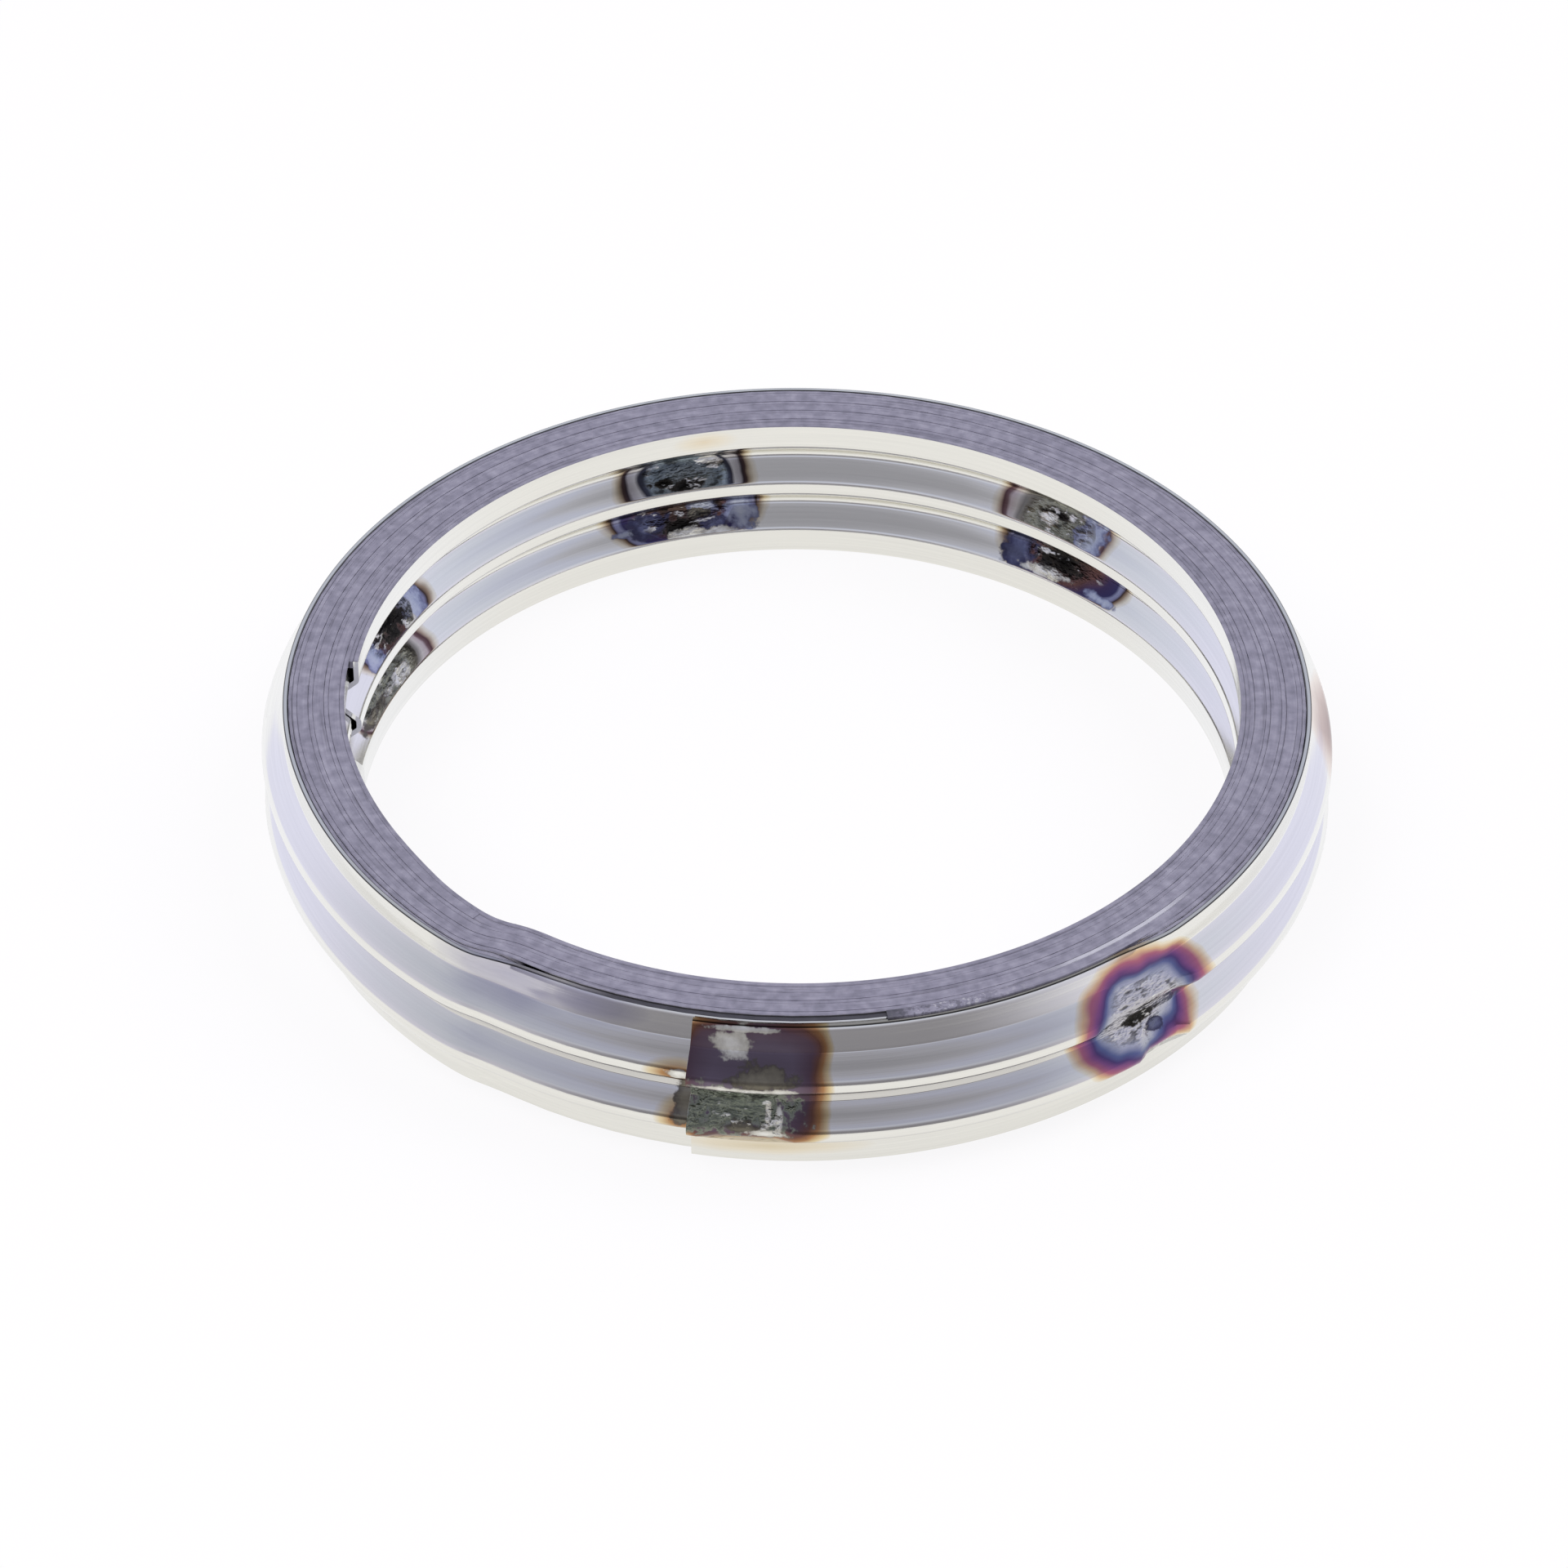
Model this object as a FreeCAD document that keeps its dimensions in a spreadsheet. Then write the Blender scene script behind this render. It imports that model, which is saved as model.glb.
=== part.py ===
import FreeCAD, Part
import math
import os
from collections import namedtuple

import Sketcher
from FreeCAD import Rotation, Vector

# Exhaust gasket: a steel strip rolled to a W section and wound into a ring, with a soft tape between its
# middle turns. Its first two turns and its last two turns lie steel on steel. +Z is the ring's axis, and the
# origin is on that axis in the plane of the lower sealing face. All sizes are millimetres and degrees.

os.makedirs("parts", exist_ok=True)
doc = FreeCAD.newDocument("exhaust_gasket")

# Driving dimensions: alias, value and meaning. All angles but the first two are counted clockwise, seen from
# above, from the strip's inner end, and every full turn has the same angle again.
DRIVING_SIZES = [
    ("bore_radius", 17.0, "clear radius inside the first turn"),
    ("strip_thickness", 0.2, "sheet thickness of the steel strip"),
    ("filler_thickness", 0.4, "soft tape between two turns, measured along the radius"),
    ("filler_turns", 3, "how many times the tape goes round"),
    ("turn_clearance", 0.035, "free space between two bare turns, square to a sloping side"),
    ("land_height", 1.0, "straight edge of the section, at the top and at the bottom"),
    ("bead_height", 1.94, "height of each bead along the axis"),
    ("valley_height", 0.42, "straight stretch between the two beads"),
    ("crest_radius", 0.25, "inside bend radius at a bead's crest"),
    ("flank_angle", 48.0, "slope of a bead's sides, from the axis"),
    ("inner_end_angle", 175.0, "where the strip's inner end lies, from +X towards +Y"),
    ("filler_end_angle", 255.0, "where the tape's outer end lies"),
    ("outer_end_angle", 276.0, "where the strip's outer end lies"),
    ("climb_start_angle", 297.0, "where each turn starts to climb over the strip's inner end"),
    ("climb_top_angle", 306.0, "top of the climb, and the tape's inner end"),
    ("climb_foot_angle", 324.0, "where the turn has settled again after the climb"),
    ("settled_rise", 0.22, "height above the run that a turn keeps once it has settled"),
    ("bump_rise", 0.2, "how far the first turn stands over its settled height at the top"),
]

sheet = doc.addObject("Spreadsheet::Sheet", "sizes")
for row, (alias, value, meaning) in enumerate(DRIVING_SIZES, start=1):
    sheet.set(f"A{row}", alias)
    sheet.set(f"B{row}", str(value))
    sheet.set(f"C{row}", meaning)
    sheet.setAlias(f"B{row}", alias)
doc.recompute()


def size(alias):
    return float(sheet.get(alias))


strip_thickness = size("strip_thickness")
half_thickness = strip_thickness / 2
flank_angle = math.radians(size("flank_angle"))
filler_turns = int(size("filler_turns"))
last_turn = filler_turns + 2

# Section

# Centre line of the strip's section, with x away from the ring's axis and y up: lower land, bead, valley,
# bead, upper land. Each crest is a narrow flat that follows its bend's arc to within 0.05.
section = doc.addObject("Sketcher::SketchObject", "strip_section")
section.Label = "section centre line"
(LOWER_LAND, LOWER_OUT, LOWER_CREST, LOWER_BACK, VALLEY,
 UPPER_OUT, UPPER_CREST, UPPER_BACK, UPPER_LAND) = range(9)


def draw_section():
    rough_points = [(0, 0), (0, 1), (1, 2), (1, 3), (0, 4), (0, 5), (1, 6), (1, 7), (0, 8), (0, 9)]
    for start, end in zip(rough_points[:-1], rough_points[1:]):
        section.addGeometry(Part.LineSegment(Vector(*start, 0), Vector(*end, 0)), False)
    rules = [("Coincident", LOWER_LAND, 1, -1, 1)]
    rules += [("Coincident", line, 2, line + 1, 1) for line in range(LOWER_LAND, UPPER_LAND)]
    rules += [("Vertical", line) for line in (LOWER_LAND, LOWER_CREST, VALLEY, UPPER_CREST, UPPER_LAND)]
    rules += [("Vertical", LOWER_OUT, 1, LOWER_BACK, 2), ("Vertical", UPPER_OUT, 1, UPPER_BACK, 2)]
    for rule in rules:
        section.addConstraint(Sketcher.Constraint(*rule))
    crest = "2 * (sizes.crest_radius + sizes.strip_thickness / 2) * tan(sizes.flank_angle / 2)"
    rise = f"(sizes.bead_height - {crest}) / 2"
    heights = {
        LOWER_LAND: "sizes.land_height", UPPER_LAND: "sizes.land_height",
        LOWER_CREST: crest, UPPER_CREST: crest,
        LOWER_OUT: rise, LOWER_BACK: rise, UPPER_OUT: rise, UPPER_BACK: rise,
        VALLEY: "sizes.valley_height",
    }
    for line, height in heights.items():
        index = section.addConstraint(Sketcher.Constraint("DistanceY", line, 1, line, 2, 1.0))
        section.setExpression(f"Constraints[{index}]", height)
    for line in (LOWER_OUT, UPPER_OUT):
        index = section.addConstraint(Sketcher.Constraint("DistanceX", line, 1, line, 2, 1.0))
        section.setExpression(f"Constraints[{index}]", f"{rise} * tan(sizes.flank_angle)")


draw_section()
doc.recompute()


def side_outline(offset):
    """The corners of one side of the sheet, from the bottom up, as points with x and y. Offset is the distance
    from the centre line, positive away from the ring's axis."""
    lines = section.Geometry
    corners = [lines[0].StartPoint] + [line.EndPoint for line in lines]
    directions = [(line.EndPoint - line.StartPoint).normalize() for line in lines]
    outline = []
    for corner, before, after in zip(corners, directions[:1] + directions, directions + directions[-1:]):
        square = Vector(before.y + after.y, -before.x - after.x, 0).normalize()
        share = Vector(before.y, -before.x, 0).dot(square)
        outline.append(corner + square * (offset / share))
    return outline


inner_outline = side_outline(-half_thickness)
outer_outline = side_outline(half_thickness)

# Path of the winding

# One arc of the strip's centre line in plan. Normal points away from the ring at the arc's start, and sweep
# is the signed angle from start to end about the centre.
PathArc = namedtuple("PathArc", "centre start normal sweep")

bare_pitch = (strip_thickness + size("turn_clearance")) / math.cos(flank_angle)
filled_pitch = strip_thickness + size("filler_thickness")
run_pitches = [bare_pitch] + [filled_pitch] * filler_turns + [bare_pitch]
settled_pitches = run_pitches[1:]


def run_radius(turn):
    return size("bore_radius") + half_thickness + sum(run_pitches[:turn])


def settled_radius(turn):
    return size("bore_radius") + half_thickness + size("settled_rise") + sum(settled_pitches[:turn])


def top_radius(turn):
    return settled_radius(turn) + size("bump_rise") * (1 - turn / len(settled_pitches))


def outward(wound_angle):
    angle = math.radians(size("inner_end_angle") - wound_angle)
    return Vector(math.cos(angle), math.sin(angle), 0)


def along(wound_angle):
    normal = outward(wound_angle)
    return Vector(normal.y, -normal.x, 0)


def turned(vector, degrees):
    return Rotation(Vector(0, 0, 1), degrees).multVec(vector)


def arc_between(start, normal, end):
    """The arc that leaves start at a right angle to normal and ends at end."""
    chord = end - start
    centre = start + normal * (chord.dot(chord) / (2 * normal.dot(chord)))
    first, last = start - centre, end - centre
    sweep = math.degrees(math.atan2(first.cross(last).z, first.dot(last)))
    return PathArc(centre, start, normal, sweep)


def run_arc(radius, first_angle, last_angle):
    normal = outward(first_angle)
    return [PathArc(Vector(0, 0, 0), normal * radius, normal, first_angle - last_angle)]


def bend_arcs(first_radius, first_angle, last_radius, last_angle):
    """Two tangent arcs from one radius to another, both ends square to the radius there."""
    start, end = outward(first_angle) * first_radius, outward(last_angle) * last_radius
    leave, arrive = along(first_angle), along(last_angle)
    chord = end - start
    square = 2 * (1 - leave.dot(arrive))
    linear = 2 * chord.dot(leave + arrive)
    reach = (math.sqrt(linear ** 2 + 4 * square * chord.dot(chord)) - linear) / (2 * square)
    joint = (start + end + (leave - arrive) * reach) * 0.5
    first = arc_between(start, outward(first_angle), joint)
    second = arc_between(joint, turned(first.normal, first.sweep), end)
    return [first, second]


# Knots of one turn, as wound angles, with the arcs that join them
RUN, PAST_FILLER_END, CLIMB, SETTLE, RISE = range(5)


def turn_arcs(turn):
    """The arcs of one full turn, in five groups."""
    filler_end, climb_start = size("filler_end_angle"), size("climb_start_angle")
    climb_top, climb_foot = size("climb_top_angle"), size("climb_foot_angle")
    run, top, settled = run_radius(turn), top_radius(turn), settled_radius(turn)
    return [
        run_arc(run, 0, filler_end),
        run_arc(run, filler_end, climb_start),
        bend_arcs(run, climb_start, top, climb_top),
        bend_arcs(top, climb_top, settled, climb_foot),
        bend_arcs(settled, climb_foot, run_radius(turn + 1), 360),
    ]


turns = [turn_arcs(turn) for turn in range(last_turn)]
outer_end, filler_end = size("outer_end_angle"), size("filler_end_angle")
turns.append([
    run_arc(run_radius(last_turn), 0, filler_end),
    run_arc(run_radius(last_turn), filler_end, outer_end),
])


def stretch(first_turn, first_group, last_turn_included, last_group):
    """All arcs from one group of one turn to another group of a later turn, both included."""
    arcs = []
    for turn in range(first_turn, last_turn_included + 1):
        for group, group_arcs in enumerate(turns[turn]):
            after_start = turn > first_turn or group >= first_group
            before_end = turn < last_turn_included or group <= last_group
            if after_start and before_end:
                arcs += group_arcs
    return arcs


# Solids

def stand(point, origin, normal):
    """A point of an outline, stood up in the plane of a normal at a point of the path."""
    return origin + normal * point.x + Vector(0, 0, point.y)


def outline_edges(outline, origin, normal):
    placed = [stand(point, origin, normal) for point in outline]
    return [Part.makeLine(low, high) for low, high in zip(placed[:-1], placed[1:])]


def side_faces(arcs, outline):
    faces = []
    for arc in arcs:
        for edge in outline_edges(outline, arc.start, arc.normal):
            faces.append(edge.revolve(arc.centre, Vector(0, 0, 1), arc.sweep))
    return faces


def rim_edge(arc, point):
    """The path of one point of an outline along an arc."""
    reach = stand(point, arc.start, arc.normal) - arc.centre
    return Part.Arc(*[arc.centre + turned(reach, arc.sweep * share) for share in (0, 0.5, 1)]).toShape()


def arc_end(arc):
    return arc.centre + turned(arc.start - arc.centre, arc.sweep), turned(arc.normal, arc.sweep)


def face_between(first_edges, second_edges):
    """A flat face between two chains of edges that run the same way."""
    starts = [chain[0].Vertexes[0].Point for chain in (first_edges, second_edges)]
    ends = [chain[-1].Vertexes[-1].Point for chain in (first_edges, second_edges)]
    bridges = [Part.makeLine(*starts), Part.makeLine(*ends)]
    return Part.Face(Part.Wire(Part.__sortEdges__(first_edges + second_edges + bridges)))


def wound_solid(inner_arcs, inner_side, outer_arcs, outer_side):
    """The solid between two wound sheets, each the outline of a section carried along its arcs."""
    faces = side_faces(inner_arcs, inner_side) + side_faces(outer_arcs, outer_side)
    for rim in (0, -1):
        for inner_arc, outer_arc in zip(inner_arcs, outer_arcs):
            inner_edge = rim_edge(inner_arc, inner_side[rim])
            outer_edge = rim_edge(outer_arc, outer_side[rim])
            faces.append(face_between([inner_edge], [outer_edge]))
    starts = [(arcs[0].start, arcs[0].normal) for arcs in (inner_arcs, outer_arcs)]
    ends = [arc_end(arcs[-1]) for arcs in (inner_arcs, outer_arcs)]
    for inner_place, outer_place in (starts, ends):
        faces.append(face_between(outline_edges(inner_side, *inner_place),
                                  outline_edges(outer_side, *outer_place)))
    skin = Part.makeCompound(faces)
    skin.sewShape()
    solid = Part.Solid(skin.Shells[0])
    if solid.Volume < 0:
        solid.reverse()
    return solid


strip_arcs = stretch(0, RUN, last_turn, PAST_FILLER_END)
strip = doc.addObject("Part::Feature", "steel_strip")
strip.Label = "steel_strip"
strip.Shape = wound_solid(strip_arcs, inner_outline, strip_arcs, outer_outline)

under_filler = stretch(0, SETTLE, filler_turns, RUN)
over_filler = stretch(1, SETTLE, filler_turns + 1, RUN)
filler = doc.addObject("Part::Feature", "filler_tape")
filler.Label = "filler_tape"
filler.Shape = wound_solid(under_filler, outer_outline, over_filler, inner_outline)

doc.recompute()

for item in doc.Objects:
    if "Invalid" in item.State or "Error" in item.State:
        raise RuntimeError(f"{item.Label} did not build: {item.State}")

for part in (strip, filler):
    if part.Shape.isNull() or not part.Shape.isValid():
        raise RuntimeError(f"{part.Label} has no valid shape")
    print(part.Label, "volume", round(part.Shape.Volume, 2), "faces", len(part.Shape.Faces),
          "shells", len(part.Shape.Shells), part.Shape.BoundBox)
    part.Shape.exportStep(f"parts/{part.Label}.step")
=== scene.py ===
import math

import bpy
from bpy.props import FloatProperty, IntProperty, PointerProperty
from mathutils import Matrix, Vector


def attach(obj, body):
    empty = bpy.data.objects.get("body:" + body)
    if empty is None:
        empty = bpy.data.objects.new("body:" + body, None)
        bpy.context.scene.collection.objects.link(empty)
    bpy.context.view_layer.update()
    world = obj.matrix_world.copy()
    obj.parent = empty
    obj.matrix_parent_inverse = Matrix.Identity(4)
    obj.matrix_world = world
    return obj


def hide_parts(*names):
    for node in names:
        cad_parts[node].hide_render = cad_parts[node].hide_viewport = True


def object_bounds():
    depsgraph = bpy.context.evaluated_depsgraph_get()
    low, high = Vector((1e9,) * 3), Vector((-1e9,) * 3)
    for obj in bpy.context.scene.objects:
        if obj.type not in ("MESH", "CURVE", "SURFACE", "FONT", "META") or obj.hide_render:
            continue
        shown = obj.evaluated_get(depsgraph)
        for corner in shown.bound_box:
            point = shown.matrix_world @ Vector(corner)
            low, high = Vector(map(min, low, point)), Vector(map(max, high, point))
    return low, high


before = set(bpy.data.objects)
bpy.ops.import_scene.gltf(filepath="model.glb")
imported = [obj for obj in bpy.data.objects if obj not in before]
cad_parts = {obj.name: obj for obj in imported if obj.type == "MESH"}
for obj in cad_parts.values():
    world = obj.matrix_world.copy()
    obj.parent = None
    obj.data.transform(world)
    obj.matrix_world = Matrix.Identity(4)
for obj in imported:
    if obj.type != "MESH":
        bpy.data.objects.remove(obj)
cad_low, cad_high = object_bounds()

# Exhaust gasket: a bright steel strip rolled to a W section and wound into a ring, with a soft graphite tape
# between its middle turns. Angles named wound are in degrees and are counted clockwise, seen from above, from the
# strip's inner end. Angles named round_ are in degrees and are counted from +X towards +Y.
#
# The strip's points keep three measures for its material: wound, the turns along it from its inner end, level,
# the height before anything is bent, and across, how far outside the middle of the lands a point lies. A pair of
# limits gives a share that rises smoothly from 0 at the first limit to 1 at the second.

bl_info = {
    "name": "Exhaust gasket",
    "version": (1, 0, 0),
    "blender": (4, 5, 0),
    "location": "View3D > Sidebar > Gasket",
    "description": "Builds a spiral-wound exhaust gasket and the stage that it lies on",
    "category": "Object",
}

MM = 0.001
UP = Vector((0, 0, 1))


class WindingSizes(bpy.types.PropertyGroup):
    """The winding's sizes, in metres and radians"""

    bore_radius: FloatProperty(
        name="Bore radius", description="Clear radius inside the first turn",
        default=17.0 * MM, unit="LENGTH", subtype="DISTANCE")
    strip_thickness: FloatProperty(
        name="Strip thickness", description="Sheet thickness of the steel strip",
        default=0.2 * MM, unit="LENGTH", subtype="DISTANCE")
    filler_thickness: FloatProperty(
        name="Tape thickness", description="Thickness of the soft tape between two turns",
        default=0.4 * MM, unit="LENGTH", subtype="DISTANCE")
    filler_turns: IntProperty(
        name="Tape turns", description="How many times the tape goes round", default=3)
    turn_clearance: FloatProperty(
        name="Turn clearance", description="Free space between two bare turns",
        default=0.035 * MM, unit="LENGTH", subtype="DISTANCE")
    land_height: FloatProperty(
        name="Land height", description="Straight edge of the section, at the top and at the bottom",
        default=1.0 * MM, unit="LENGTH", subtype="DISTANCE")
    bead_height: FloatProperty(
        name="Bead height", description="Height of each bead along the axis",
        default=1.94 * MM, unit="LENGTH", subtype="DISTANCE")
    valley_height: FloatProperty(
        name="Valley height", description="Straight stretch between the two beads",
        default=0.42 * MM, unit="LENGTH", subtype="DISTANCE")
    flank_angle: FloatProperty(
        name="Flank angle", description="Slope of a bead's sides, from the axis",
        default=math.radians(48), unit="ROTATION", subtype="ANGLE")
    crest_bend: FloatProperty(
        name="Crest bend", description="Bend radius at a bead's crest, at the sheet's middle",
        default=0.35 * MM, unit="LENGTH", subtype="DISTANCE")
    fold_bend: FloatProperty(
        name="Fold bend", description="Bend radius where a bead meets a land, at the sheet's middle",
        default=0.2 * MM, unit="LENGTH", subtype="DISTANCE")


# How finely the section is divided: in its bends, and along flanks and lands that are longer than LONG_STRETCH.
# Directions that differ by less than SAME_DIRECTION, in radians, count as one.
BEND_STOPS = {"fold": 3, "crest": 6}
FLANK_STOPS = 2
LAND_STOPS = 4
LONG_STRETCH = 0.7 * MM
SAME_DIRECTION = 0.01
EDGE_ROUNDING = 0.03 * MM

# The strip's inner end as a round_ angle, then as wound angles its outer end and where each turn climbs onto the
# next one: the climb's start, its top and its foot. It overshoots at its top and settles at its foot.
INNER_END = 175.0
OUTER_END = 276.0
CLIMB_START, CLIMB_TOP, CLIMB_FOOT = 297.0, 306.0, 324.0
SETTLED_RISE = 0.22 * MM
BUMP_RISE = 0.2 * MM

# The steps of the spin in degrees, fine where the strip shows, and the gap over which stretches are joined
FINE_STEP, COARSE_STEP = 1.0, 4.0
JOIN_GAP = 0.002 * MM

# Places along the strip, in turns from its inner end: where its outermost layer and its last turn begin, where
# its upper edge is made near black, and where that edge is still bright between the tape
OUTER_LAYER = 4.767
LAST_TURN = 4.99
DARK_EDGE_FROM, DARK_EDGE_TO = (4.66, 4.69), (4.83, 4.79)
SHINE_FROM, SHINE_TO = (3.59, 3.61), (3.66, 3.64)


def section_corners(sizes):
    """The sharp corners of the section's centre line, from the bottom up, with the bend radius at each."""
    reach = sizes.bead_height / 2 * math.tan(sizes.flank_angle)
    fold, crest = sizes.fold_bend, sizes.crest_bend
    moves = [(0, sizes.land_height, fold), (reach, sizes.bead_height / 2, crest),
             (-reach, sizes.bead_height / 2, fold), (0, sizes.valley_height, fold),
             (reach, sizes.bead_height / 2, crest), (-reach, sizes.bead_height / 2, fold),
             (0, sizes.land_height, 0)]
    corners = [(Vector((0, 0)), 0)]
    for across, up, bend in moves:
        corners.append((corners[-1][0] + Vector((across, up)), bend))
    return corners


def section_rows(sizes):
    """Points along the rounded centre line, each with the direction square to the sheet there."""
    corners = section_corners(sizes)
    rows = []
    for index, (corner, bend) in enumerate(corners):
        if not 0 < index < len(corners) - 1:
            neighbour = corners[1][0] if index == 0 else corners[-2][0]
            edge = (neighbour - corner) if index == 0 else (corner - neighbour)
            edge.normalize()
            rows.append((corner, Vector((edge.y, -edge.x))))
            continue
        before = (corner - corners[index - 1][0]).normalized()
        after = (corners[index + 1][0] - corner).normalized()
        turn = before.angle(after)
        count = BEND_STOPS["crest" if bend == sizes.crest_bend else "fold"]
        start = corner - before * bend * math.tan(turn / 2)
        square = Vector((before.y, -before.x))
        side = 1 if before.cross(after) < 0 else -1
        centre = start + square * bend * side
        for stop in range(count + 1):
            rotation = Matrix.Rotation(-side * turn * stop / count, 2)
            rows.append((centre + rotation @ (start - centre), rotation @ square))
    return spread_rows(rows)


def spread_rows(rows):
    """Adds points along the straight stretches, so that they can be bent and dented later."""
    spread = []
    for (point, normal), (next_point, next_normal) in zip(rows[:-1], rows[1:]):
        spread.append((point, normal))
        straight = normal.angle(next_normal) < SAME_DIRECTION
        stops = 1
        if straight and (next_point - point).length > LONG_STRETCH:
            stops = LAND_STOPS if abs(normal.y) < SAME_DIRECTION else FLANK_STOPS
        for stop in range(1, stops):
            spread.append((point.lerp(next_point, stop / stops), normal))
    spread.append(rows[-1])
    return spread


def outward(wound):
    """The direction away from the axis, at a place along the strip."""
    angle = math.radians(INNER_END - wound)
    return Vector((math.cos(angle), math.sin(angle), 0))


def along(wound):
    """The direction of the strip's run there, towards its outer end."""
    return outward(wound).cross(UP)


def pitches(sizes):
    """How much further out each turn lies than the one before."""
    bare = (sizes.strip_thickness + sizes.turn_clearance) / math.cos(sizes.flank_angle)
    filled = sizes.strip_thickness + sizes.filler_thickness
    return [bare] + [filled] * sizes.filler_turns + [bare]


def run_radius(sizes, turn):
    """Radius of a turn's round run, at the sheet's middle."""
    return sizes.bore_radius + sizes.strip_thickness / 2 + sum(pitches(sizes)[:turn])


def settled_radius(sizes, turn):
    """Radius at the foot of a turn's climb."""
    return sizes.bore_radius + sizes.strip_thickness / 2 + SETTLED_RISE + sum(pitches(sizes)[1:turn + 1])


def top_radius(sizes, turn):
    """Radius at the top of a turn's climb, where the bump of the inner turns fades outwards."""
    return settled_radius(sizes, turn) + BUMP_RISE * (1 - turn / (sizes.filler_turns + 1))


def arc_between(start, normal, end):
    """Centre and signed angle of the arc that leaves start square to normal and ends at end."""
    chord = end - start
    centre = start + normal * (chord.dot(chord) / (2 * normal.dot(chord)))
    first, last = start - centre, end - centre
    return centre, math.atan2(first.cross(last).z, first.dot(last))


def bend_arcs(first_radius, first_wound, last_radius, last_wound):
    """Two tangent arcs from one radius to another, both ends square to the radius there."""
    start, end = outward(first_wound) * first_radius, outward(last_wound) * last_radius
    leave, arrive = along(first_wound), along(last_wound)
    chord = end - start
    square = 2 * (1 - leave.dot(arrive))
    linear = 2 * chord.dot(leave + arrive)
    reach = (math.sqrt(linear ** 2 + 4 * square * chord.dot(chord)) - linear) / (2 * square)
    joint = (start + end + (leave - arrive) * reach) / 2
    first = arc_between(start, outward(first_wound), joint)
    normal = outward(first_wound)
    normal.rotate(Matrix.Rotation(first[1], 3, "Z"))
    return [first, arc_between(joint, normal, end)]


def climb_knots(sizes, turn):
    """Radius and place of the points through which a turn climbs onto the next one."""
    return [(run_radius(sizes, turn), CLIMB_START), (top_radius(sizes, turn), CLIMB_TOP),
            (settled_radius(sizes, turn), CLIMB_FOOT), (run_radius(sizes, turn + 1), 360.0)]


def run_arc(turn, run_end):
    """Centre, signed angle and middle place of a turn's round run."""
    return Vector((0, 0, 0)), -math.radians(run_end), 360 * turn + run_end / 2


def climb_arcs(turn, knots):
    """Centre, signed angle and middle place of the arcs through these points of a turn's climb."""
    arcs = []
    for (radius, wound), (next_radius, next_wound) in zip(knots[:-1], knots[1:]):
        for centre, sweep in bend_arcs(radius, wound, next_radius, next_wound):
            arcs.append((centre, sweep, 360 * turn + (wound + next_wound) / 2))
    return arcs


def winding_arcs(sizes):
    """Every arc of the strip, from its inner end to its outer end."""
    last_turn = sizes.filler_turns + 2
    arcs = []
    for turn in range(last_turn):
        arcs.append(run_arc(turn, CLIMB_START))
        arcs += climb_arcs(turn, climb_knots(sizes, turn))
    return arcs + [run_arc(last_turn, OUTER_END)]


def deselect_all():
    bpy.ops.object.select_all(action="DESELECT")


def set_mode(mode):
    bpy.ops.object.mode_set(mode=mode)


def section_outline(sizes):
    """Points round the strip's section: up its outer side and down its inner side."""
    rows = section_rows(sizes)
    half = sizes.strip_thickness / 2
    low, high = rows[0], rows[-1]
    lift = Vector((0, EDGE_ROUNDING))
    placed = [(low[0], low[1], half - EDGE_ROUNDING), (low[0] + lift, low[1], half)]
    placed += [(point, normal, half) for point, normal in rows[1:-1]]
    placed += [(high[0] - lift, high[1], half), (high[0], high[1], half - EDGE_ROUNDING)]
    outer = [point + normal * offset for point, normal, offset in placed]
    inner = [point - normal * offset for point, normal, offset in placed]
    return outer + inner[::-1]


def round_angle_of(point):
    return math.degrees(math.atan2(point.y, point.x))


def away_from_axis(point):
    return Vector((point.x, point.y, 0)).normalized()


def add_loop(outline, start, normal):
    """The section's outline as a loop of edges, stood up at a point of the path. Each point keeps how far out
    across the section it lies."""
    deselect_all()
    bpy.ops.mesh.primitive_circle_add(vertices=len(outline), fill_type="NOTHING")
    loop = bpy.context.object
    across = loop.data.attributes.new("across", "FLOAT", "POINT")
    across.data.foreach_set("value", [flat.x for flat in outline])
    for vertex, flat in zip(loop.data.vertices, outline):
        vertex.co = start + normal * flat.x + UP * flat.y
    return loop


def mark_places(mesh, middle):
    """Keeps on each vertex how many turns along the strip it lies, and how high, before anything is bent. The
    middle of the stretch, a wound angle, tells which turn it is."""
    wound = mesh.attributes.new("wound", "FLOAT", "POINT")
    level = mesh.attributes.new("level", "FLOAT", "POINT")
    for index, vertex in enumerate(mesh.vertices):
        place = INNER_END - round_angle_of(vertex.co)
        place += 360 * round((middle - place) / 360)
        wound.data[index].value = place / 360
        level.data[index].value = vertex.co.z


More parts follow.
